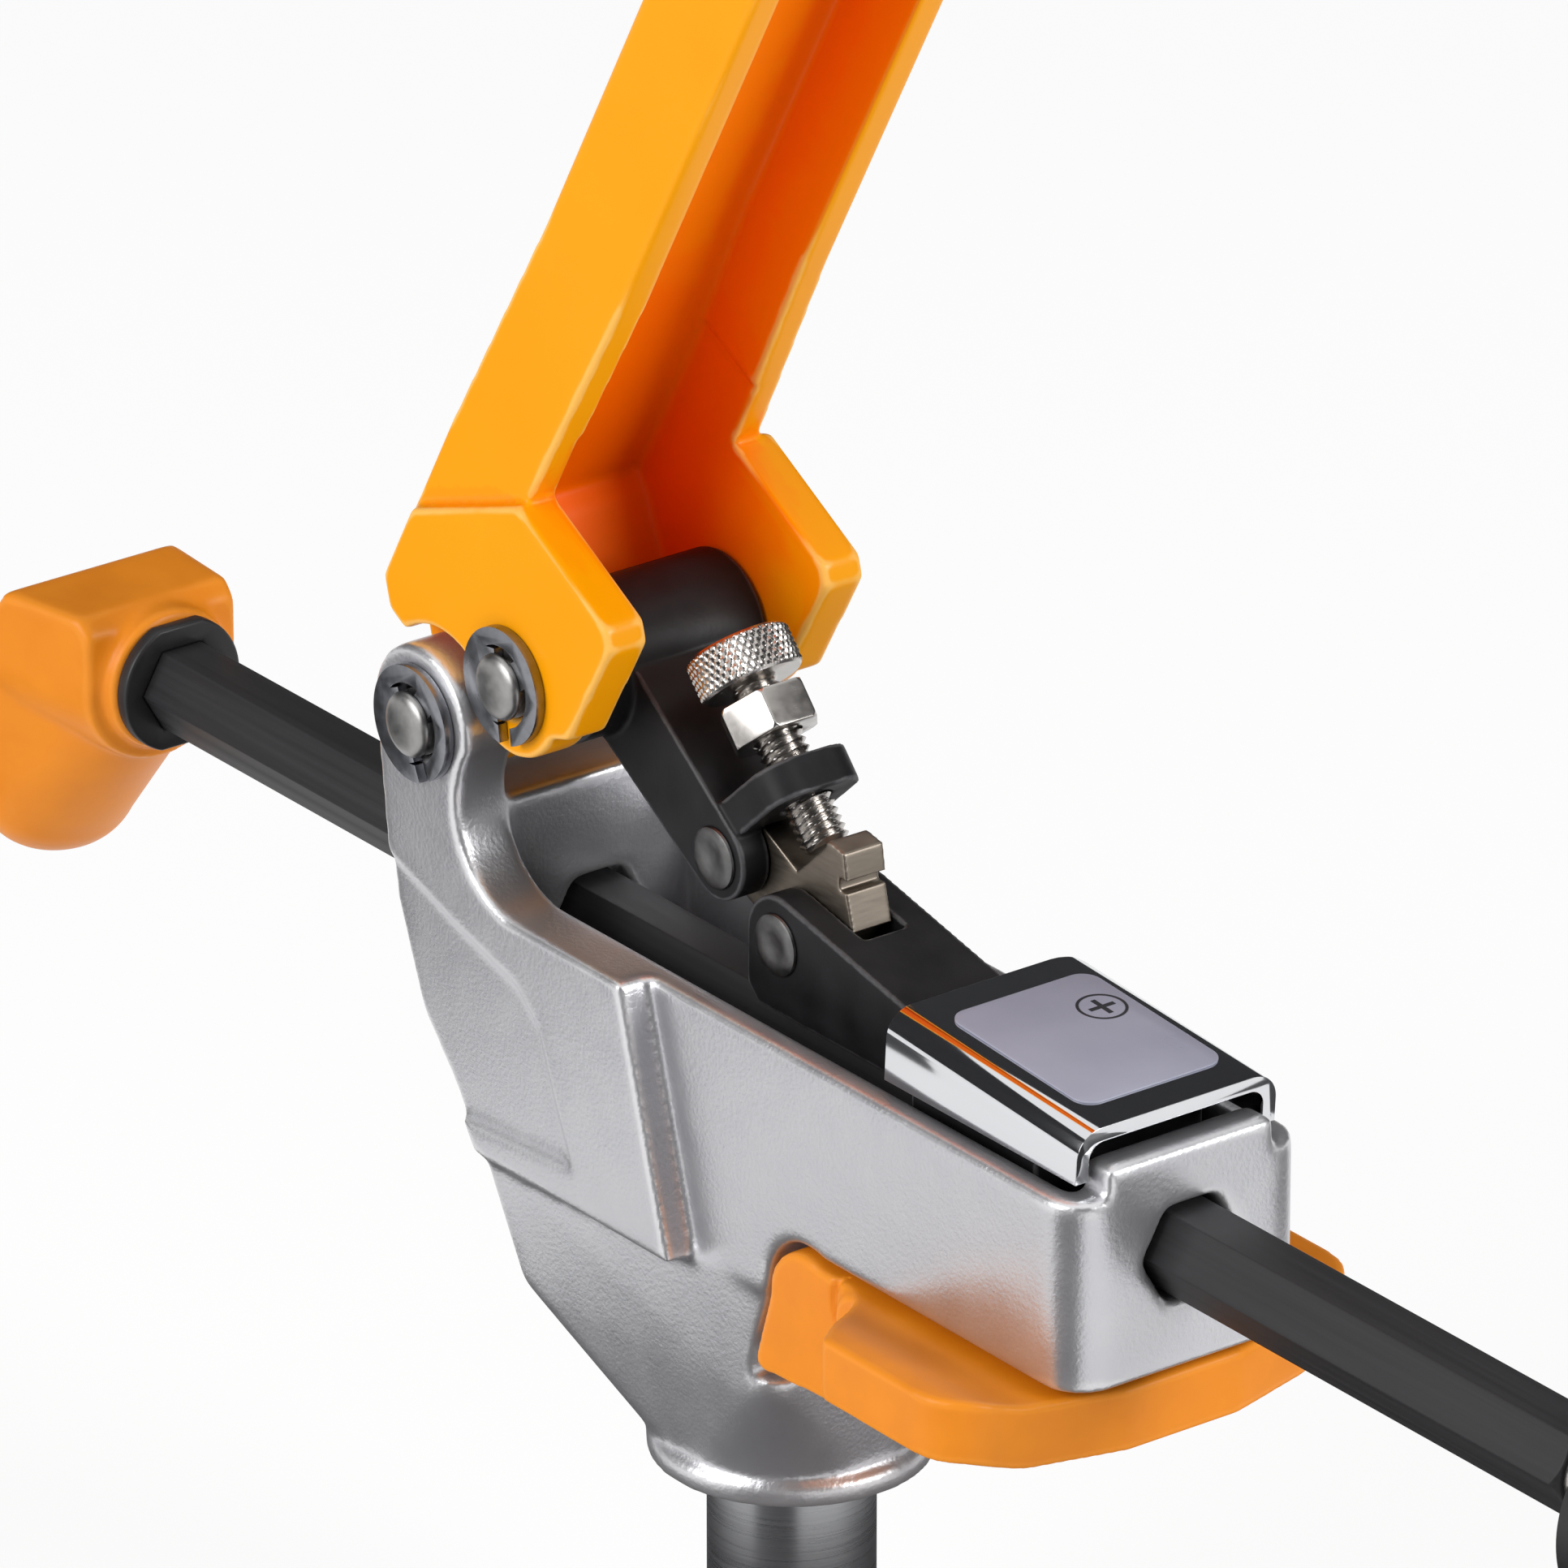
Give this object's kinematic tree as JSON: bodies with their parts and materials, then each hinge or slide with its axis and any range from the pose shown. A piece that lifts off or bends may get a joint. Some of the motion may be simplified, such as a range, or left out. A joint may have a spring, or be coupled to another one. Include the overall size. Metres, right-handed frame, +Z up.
{
  "type": "bench dog clamp",
  "caption": "Push clamp on a dog peg for a bench hole: a toggle lever drives a hex rod with a swivel pad, held by jam plates and freed by a trigger",
  "frame": {"origin": "axis of the dog peg at the seat of the foot, level with the bench top", "axes": "+X along the rod towards the work, +Z up from the bench, +Y to the left when looking along +X"},
  "size_m": [0.3186, 0.06, 0.2731],
  "materials": {
    "cast_body": "satin silver on a fine cast grain",
    "pin_steel": "turned steel",
    "clip_steel": "stamped spring steel",
    "peg_steel": "turned steel",
    "black_steel": "blackened steel",
    "lever_paint": "glossy orange paint",
    "black_oxide": "black oxide, lightly oiled",
    "nickel": "nickel plate",
    "warm_steel": "bare steel with a warm tint",
    "cover_chrome": "bright plated sheet",
    "label_film": "plain pale film",
    "spring_wire": "drawn wire",
    "rod_black": "black oxide on drawn hex bar",
    "orange_plastic": "moulded orange plastic",
    "black_plastic": "moulded black plastic",
    "pad_rubber": "soft rubber"
  },
  "bodies": {
    "body": {"body_casting": "cast_body", "fulcrum_pin": "pin_steel", "fulcrum_clips": "clip_steel", "dog_peg": "peg_steel", "peg_bolt": "black_steel", "trigger_pin": "pin_steel", "trigger_spring": "spring_wire"},
    "lever": {"lever_handle": "lever_paint", "link_pin": "pin_steel", "link_clips": "clip_steel"},
    "upper_link": {"upper_link": "black_oxide", "knee_rivet": "pin_steel"},
    "lower_link": {"lower_link": "warm_steel"},
    "lock_nut": {"lock_nut": "nickel"},
    "thumb_screw": {"thumb_screw": "nickel"},
    "carriage": {"carriage": "black_oxide", "carriage_rivet": "pin_steel", "slide_cover": "cover_chrome", "cover_label": "label_film", "jam_spring": "spring_wire"},
    "jam_plates": {"jam_plates": "clip_steel"},
    "rod": {"hex_rod": "rod_black", "rear_knob": "orange_plastic", "knob_collar": "black_plastic", "knob_screw": "black_steel", "pad_stud": "nickel"},
    "pad": {"pad_cup": "black_plastic", "pad_face": "pad_rubber"},
    "trigger": {"release_trigger": "orange_plastic"}
  },
  "joints": [
    {"name": "lever_swing", "type": "hinge", "parent": "body", "child": "lever", "pos_m": [-0.0435, 0, 0.0826], "axis": [0, 1, 0], "range_deg": [0, 50]},
    {"name": "upper_link_swing", "type": "hinge", "parent": "lever", "child": "upper_link", "pos_m": [-0.0295, 0, 0.0915], "axis": [0, 1, 0], "range_deg": [-71, 0]},
    {"name": "knee_bend", "type": "hinge", "parent": "upper_link", "child": "lower_link", "pos_m": [-0.0053, 0, 0.0752], "axis": [0, 1, 0], "range_deg": [-2.6, 2.6]},
    {"name": "thumb_screw_turn", "type": "hinge", "parent": "upper_link", "child": "thumb_screw", "pos_m": [0.0073, 0, 0.0784], "axis": [0.673, 0, -0.7396], "range_deg": [-180, 180]},
    {"name": "lock_nut_turn", "type": "hinge", "parent": "thumb_screw", "child": "lock_nut", "pos_m": [0.0073, 0, 0.0784], "axis": [0.673, 0, -0.7396], "range_deg": [-180, 180]},
    {"name": "carriage_slide", "type": "slide", "parent": "body", "child": "carriage", "axis": [1, 0, 0], "range_m": [0, 0.0076]},
    {"name": "jam_release", "type": "hinge", "parent": "carriage", "child": "jam_plates", "pos_m": [0.0436, 0, 0.062], "axis": [0, 1, 0], "range_deg": [-5.01, 0]},
    {"name": "rod_slide", "type": "slide", "parent": "carriage", "child": "rod", "axis": [1, 0, 0], "range_m": [-0.058, 0.058]},
    {"name": "pad_swivel", "type": "hinge", "parent": "rod", "child": "pad", "pos_m": [0.152, 0, 0.054], "axis": [0, 1, 0], "range_deg": [-8, 8]},
    {"name": "trigger_press", "type": "hinge", "parent": "body", "child": "trigger", "pos_m": [0.025, 0, 0.0325], "axis": [0, 1, 0], "range_deg": [0, 8], "stiffness_Nm_per_rad": 0.5, "springref_deg": -17.19}
  ],
  "couplings": [
    {"joint": "upper_link_swing", "follows": "lever_swing", "ratio": -1.4048},
    {"joint": "carriage_slide", "follows": "lever_swing", "m_per_rad": 0.008606},
    {"joint": "knee_bend", "follows": "thumb_screw_turn", "ratio": 0.01388},
    {"joint": "jam_release", "follows": "trigger_press", "ratio": -0.625}
  ]
}
